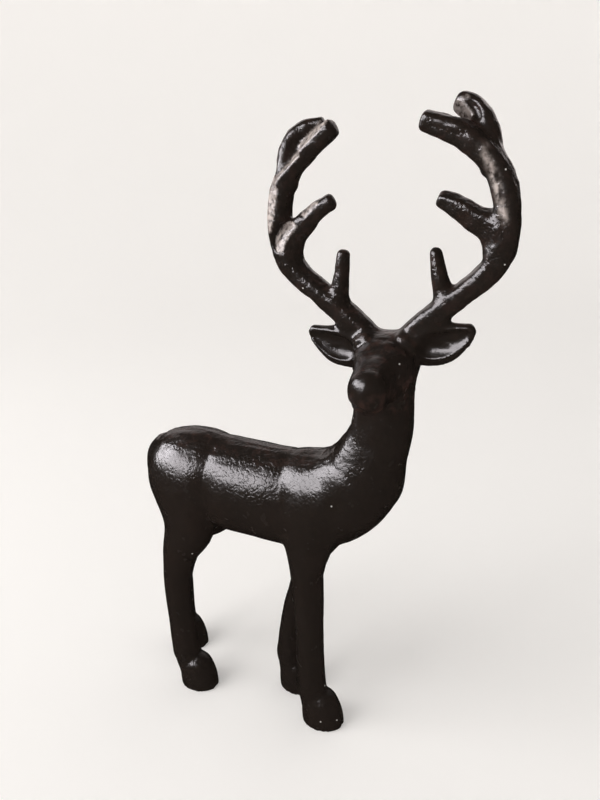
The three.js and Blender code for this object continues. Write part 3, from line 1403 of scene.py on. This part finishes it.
def mesh_of(name: str, points: np.ndarray, faces: np.ndarray) -> bpy.types.Mesh:
    """Puts corners and faces into a new mesh.

    Args:
        name: the mesh's name.
        points: N by 3 corners in metres.
        faces: M by 3 or M by 4 corner numbers.

    Returns:
        The mesh, smooth shaded.
    """
    mesh = bpy.data.meshes.new(name)
    count, sides = faces.shape
    mesh.vertices.add(len(points))
    mesh.vertices.foreach_set("co", points.astype(np.float32).ravel())
    mesh.loops.add(count * sides)
    mesh.loops.foreach_set("vertex_index", faces.astype(np.int32).ravel())
    mesh.polygons.add(count)
    mesh.polygons.foreach_set("loop_start", np.arange(0, count * sides, sides, dtype=np.int32))
    mesh.update(calc_edges=True)
    mesh.validate()
    mesh.shade_smooth()
    return mesh


# ---- finishes ----


class Nodes:
    """A short hand for building one material's node tree."""

    def __init__(self, name: str) -> None:
        """Starts a material with its Principled shader.

        Args:
            name: the material's name.
        """
        self.material = bpy.data.materials.new(name)
        self.material.use_nodes = True
        self.tree = self.material.node_tree
        self.shader = self.tree.nodes["Principled BSDF"]
        self.place = self.tree.nodes.new("ShaderNodeTexCoord").outputs["Object"]

    def add(self, kind: str, inputs: dict[str, object], **options: object) -> bpy.types.Node:
        """Adds a node.

        Args:
            kind: the node's type.
            inputs: a value or a socket for each named input.
            options: the node's own settings.

        Returns:
            The node.
        """
        node = self.tree.nodes.new(kind)
        for name, value in options.items():
            setattr(node, name, value)
        for name, value in inputs.items():
            self.set(node, name, value)
        return node

    def set(self, node: bpy.types.Node, name: str | int, value: object) -> None:
        """Gives an input a value, or links a socket to it.

        Args:
            node: the node.
            name: name or number of its input.
            value: a value or a socket.
        """
        if isinstance(value, bpy.types.NodeSocket):
            self.tree.links.new(value, node.inputs[name])
        else:
            node.inputs[name].default_value = value

    def noise(self, pitch: float, detail: float, rough: float = 0.5) -> bpy.types.NodeSocket:
        """A noise with features about one pitch apart, in metres."""
        return self.add("ShaderNodeTexNoise", {
            "Vector": self.place, "Scale": 1.0 / pitch, "Detail": detail, "Roughness": rough,
        }).outputs["Fac"]

    def ramp(self, value: bpy.types.NodeSocket, low: float, high: float,
             start: float = 0.0, end: float = 1.0) -> bpy.types.NodeSocket:
        """Maps low to start and high to end, held beyond them."""
        return self.add("ShaderNodeMapRange", {
            "Value": value, "From Min": low, "From Max": high, "To Min": start, "To Max": end,
        }).outputs["Result"]

    def math(self, operation: str, a: object, b: object) -> bpy.types.NodeSocket:
        """One sum on two values."""
        return self.add("ShaderNodeMath", {0: a, 1: b}, operation=operation).outputs[0]

    def blend(self, share: object, a: object, b: object) -> bpy.types.NodeSocket:
        """Mixes two colours.

        Args:
            share: how much of b.
            a: first colour.
            b: second colour.

        Returns:
            The mixed colour.
        """
        node = self.add("ShaderNodeMix", {}, data_type="RGBA")
        for name, value in (("Factor", share), ("A", a), ("B", b)):
            socket = next(s for s in node.inputs if s.name == name and s.enabled)
            if isinstance(value, bpy.types.NodeSocket):
                self.tree.links.new(value, socket)
            else:
                socket.default_value = value
        return next(s for s in node.outputs if s.enabled)

    def share(self, name: str) -> bpy.types.NodeSocket:
        """Reads one of the mesh's own attributes."""
        return self.add("ShaderNodeAttribute", {}, attribute_name=name).outputs["Fac"]


Colour = tuple[float, float, float, float]


@dataclass(frozen=True)
class BlackPaint:
    """Gloss black paint over a sand-cast skin, worn to brown in places.

    Attributes:
        colour: the paint's colour, linear.
        brown: colour of thin and rusty paint.
        iron_and_highlight: light iron colour of the wheel-cut flats and broken faces, which also
            paints highlights on them and along a line down the left beam.
        dust: colour of stray specks of dust.
        roughness: mean roughness of the paint.
        gloss: specular level.
        peel: pitch of the orange-peel grain, in metres.
        peel_height: height of that grain, in metres.
    """

    colour: Colour = (0.0168, 0.0128, 0.0106, 1.0)
    brown: Colour = (0.038, 0.022, 0.018, 1.0)
    # light iron colour: the iron of the wheel-cut flats, and a painted highlight on them and along
    # the left beam
    iron_and_highlight: Colour = (0.54, 0.47, 0.44, 1.0)
    dust: Colour = (0.60, 0.58, 0.56, 1.0)
    roughness: float = 0.19
    gloss: float = 0.09
    peel: float = 0.0014
    peel_height: float = 0.00011

    def material(self, name: str) -> bpy.types.Material:
        """Builds the node material.

        Args:
            name: the material's name.

        Returns:
            The material.
        """
        n = Nodes(name)
        n.shader.inputs["Specular IOR Level"].default_value = self.gloss
        patches = n.ramp(n.noise(0.004, 4.0, 0.65), 0.47, 0.64)
        worn = n.math("MULTIPLY", n.share("worn"), patches)
        haze = n.math("MULTIPLY", n.ramp(n.noise(0.03, 3.0), 0.5, 0.75), 0.12)
        # this share lays the light iron colour on: partly the flats' iron, partly a painted
        # highlight
        ground_and_highlight = n.share("ground_and_highlight")
        brown = n.blend(n.math("MAXIMUM", worn, haze), self.colour, self.brown)
        iron_and_highlight_share = n.math("MULTIPLY", ground_and_highlight, n.ramp(n.noise(0.0016, 3.0), 0.3, 0.55))
        iron = n.blend(iron_and_highlight_share, brown, self.iron_and_highlight)
        n.set(n.shader, "Base Color", n.blend(self.specks(n), iron, self.dust))
        smooth = n.ramp(n.noise(0.005, 3.0), 0.3, 0.7, self.roughness - 0.05, self.roughness + 0.1)
        rough = n.math("MAXIMUM", n.math("MULTIPLY", n.share("worn"), 0.3), smooth)
        n.set(n.shader, "Roughness", n.math("MAXIMUM", rough, n.math("MULTIPLY", ground_and_highlight, 0.42)))
        pits = n.ramp(n.noise(self.peel, 1.5), 0.38, 0.54)
        fine = n.noise(self.peel * 0.45, 2.0)
        height = n.math("ADD", pits, n.math("MULTIPLY", fine, 0.35))
        bump = n.add("ShaderNodeBump", {
            "Height": height, "Distance": self.peel_height, "Strength": n.share("coarse"),
        })
        n.set(n.shader, "Normal", bump.outputs["Normal"])
        return n.material

    def specks(self, n: Nodes) -> bpy.types.NodeSocket:
        """Share of dust: the middles of a few random cells.

        Args:
            n: the material's nodes.

        Returns:
            The share.
        """
        cells = n.add("ShaderNodeTexVoronoi", {"Vector": n.place, "Scale": 150.0})
        near = n.math("LESS_THAN", cells.outputs["Distance"], 0.05)
        pick = n.add("ShaderNodeSeparateColor", {"Color": cells.outputs["Color"]}).outputs["Red"]
        return n.math("MULTIPLY", near, n.math("GREATER_THAN", pick, 0.8))


@dataclass(frozen=True)
class PaleBoard:
    """Matt off-white card for the floor and the backdrop, lit a little from behind.

    Attributes:
        colour: its colour, linear.
        glow: strength of the light that comes through it.
    """

    colour: Colour = (0.86, 0.845, 0.83, 1.0)
    glow: float = 0.225

    def material(self, name: str) -> bpy.types.Material:
        """Builds the material under the given name.

        Args:
            name: the material's name.

        Returns:
            The material.
        """
        n = Nodes(name)
        for socket, value in (
            ("Base Color", self.colour),
            ("Roughness", 0.9),
            ("Specular IOR Level", 0.0),
            ("Emission Color", self.colour),
            ("Emission Strength", self.glow),
        ):
            n.set(n.shader, socket, value)
        return n.material


# ---- the studio, in metres ----

FIGURE_MIDDLE = 0.12


class Falls(Enum):
    """What a lamp shows in."""

    GLOSS = "gloss"
    FLOOR = "floor"


@dataclass(frozen=True)
class Lamp:
    """One soft rectangular light that faces the figure.

    Attributes:
        name: the light's name.
        bearing: degrees from -Y towards +X.
        height: degrees above the horizon.
        size: width and height of the panel, in metres.
        watts: power.
        falls: whether it is the window that the gloss mirrors or the light on the floor.
        colour: its tint.
        reach: distance from the figure's middle, in metres.
    """

    name: str
    bearing: float
    height: float
    size: tuple[float, float]
    watts: float
    falls: Falls
    colour: tuple[float, float, float] = (1.0, 0.985, 0.97)
    reach: float = 1.1

    def build(self) -> None:
        """Hangs the light."""
        back = Vector(towards(self.bearing, self.height))
        data = bpy.data.lights.new(self.name, "AREA")
        data.shape = "RECTANGLE"
        data.size, data.size_y = self.size
        data.energy = self.watts
        data.color = self.colour
        lamp = put(self.name, data)
        lamp.location = Vector((0.0, 0.0, FIGURE_MIDDLE)) + back * self.reach
        lamp.rotation_mode = "QUATERNION"
        lamp.rotation_quaternion = back.to_track_quat("Z", "Y")
        lamp.visible_diffuse = self.falls is Falls.FLOOR
        lamp.visible_glossy = self.falls is Falls.GLOSS


@dataclass
class Studio:
    """Floor, lights, surroundings and camera.

    Attributes:
        azimuth: the camera's bearing from -Y towards +X, in degrees.
        elevation: its height above the horizon, in degrees.
        roll: how far it leans, in degrees.
        distance: from the aim to the camera, in metres.
        aim: the point at which the camera aims.
        lens: focal length for a 36 mm long side.
        flat: radius of the flat floor.
        sweep: radius of the curve between floor and wall.
        wall: height of the wall above that curve.
        ambient: strength of the even light from all round.
        lamps: the lights.
    """

    azimuth: float = 29.0
    elevation: float = 19.0
    roll: float = -4.5
    distance: float = 0.2835
    aim: tuple[float, float, float] = (0.00566, 0.00548, 0.1522)
    lens: float = 31.5
    flat: float = 0.9
    sweep: float = 0.6
    wall: float = 0.8
    ambient: float = 0.34
    lamps: tuple[Lamp, ...] = (
        Lamp("window", -47.0, 27.0, (1.35, 0.54), 122.0, Falls.GLOSS, (1.0, 0.96, 1.0)),
        Lamp("window_behind", 200.0, 26.0, (2.0, 0.7), 7.5, Falls.GLOSS, (1.0, 0.90, 0.88)),
        Lamp("window_on_floor", -45.0, 40.0, (1.15, 0.95), 9.5, Falls.FLOOR, reach=1.3),
    )

    def bowl(self) -> bpy.types.Object:
        """The floor, which sweeps up all round into a wall.

        Rings of one profile: a flat disc, a quarter arc, then a straight wall, turned about Z.

        Returns:
            The bowl.
        """
        turn = np.linspace(0.0, 2.0 * math.pi, 97)[:-1]
        arc = np.linspace(0.0, math.pi / 2, 17)[1:]
        flat = np.linspace(0.0, self.flat, 8)[1:]
        rim, top = self.flat + self.sweep, self.sweep + self.wall
        radius = np.concatenate([flat, self.flat + self.sweep * np.sin(arc), [rim]])
        height = np.concatenate([0 * flat, self.sweep * (1 - np.cos(arc)), [top]])
        x, y = radius[:, None] * np.cos(turn), radius[:, None] * np.sin(turn)
        z = np.broadcast_to(height[:, None], x.shape)
        rings, steps = x.shape
        points = np.concatenate([np.stack([x, y, z], axis=-1).reshape(-1, 3), [[0.0, 0.0, 0.0]]])
        here = np.arange(rings * steps).reshape(rings, steps)
        beside = np.roll(here, -1, axis=1)
        quads = np.stack([here[:-1], here[1:], beside[1:], beside[:-1]], axis=-1)
        centre = np.full(steps, len(points) - 1)
        fan = np.stack([centre, here[0], beside[0]], axis=1)
        mesh = bpy.data.meshes.new("floor")
        mesh.from_pydata(points.tolist(), [], quads.reshape(-1, 4).tolist() + fan.tolist())
        mesh.shade_smooth()
        floor = put("floor", mesh)
        floor.data.materials.append(PaleBoard().material("pale_board"))
        floor.visible_glossy = False
        return floor

    def camera(self) -> None:
        """Makes the camera and gives it to the scene.

        Its right is level and square to its back, its up is back cross right, and both are
        turned about the back by the roll.
        """
        back = towards(self.azimuth, self.elevation)
        right = towards(self.azimuth + 90.0, 0.0)
        up = np.cross(back, right)
        lean = math.radians(self.roll)
        leaned_right = right * math.cos(lean) + up * math.sin(lean)
        leaned_up = -right * math.sin(lean) + up * math.cos(lean)
        place = np.array(self.aim) + back * self.distance
        turn = np.stack([leaned_right, leaned_up, back], axis=1)
        data = bpy.data.cameras.new("camera")
        data.sensor_width = 36.0
        data.lens = self.lens
        data.clip_start, data.clip_end = 0.01, 20.0
        camera = put("camera", data)
        camera.matrix_world = Matrix.Translation(place.tolist()) @ Matrix(turn.tolist()).to_4x4()
        bpy.context.scene.camera = camera

    def surroundings(self) -> None:
        """Even pale light from all round, which the gloss of the paint does not mirror."""
        world = bpy.data.worlds.new("room")
        world.use_nodes = True
        backdrop = world.node_tree.nodes["Background"]
        backdrop.inputs["Color"].default_value = (1.0, 0.985, 0.97, 1.0)
        backdrop.inputs["Strength"].default_value = self.ambient
        world.cycles_visibility.glossy = False
        bpy.context.scene.world = world
        bpy.context.scene.view_settings.view_transform = "Standard"

    def build(self) -> None:
        """Sets the whole studio up round the figure."""
        self.camera()
        self.bowl()
        self.surroundings()
        for lamp in self.lamps:
            lamp.build()


def main() -> None:
    """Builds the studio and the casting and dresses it."""
    logging.basicConfig(level=logging.INFO, format="%(name)s: %(message)s")
    casting = Casting()
    piece = casting.build()
    piece.data.materials.append(BlackPaint().material(SLOT))
    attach(piece, BODY)
    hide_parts(NODE)
    log.info("casting: %d faces", len(piece.data.polygons))
    Studio().build()


if __name__ == "__main__":
    main()
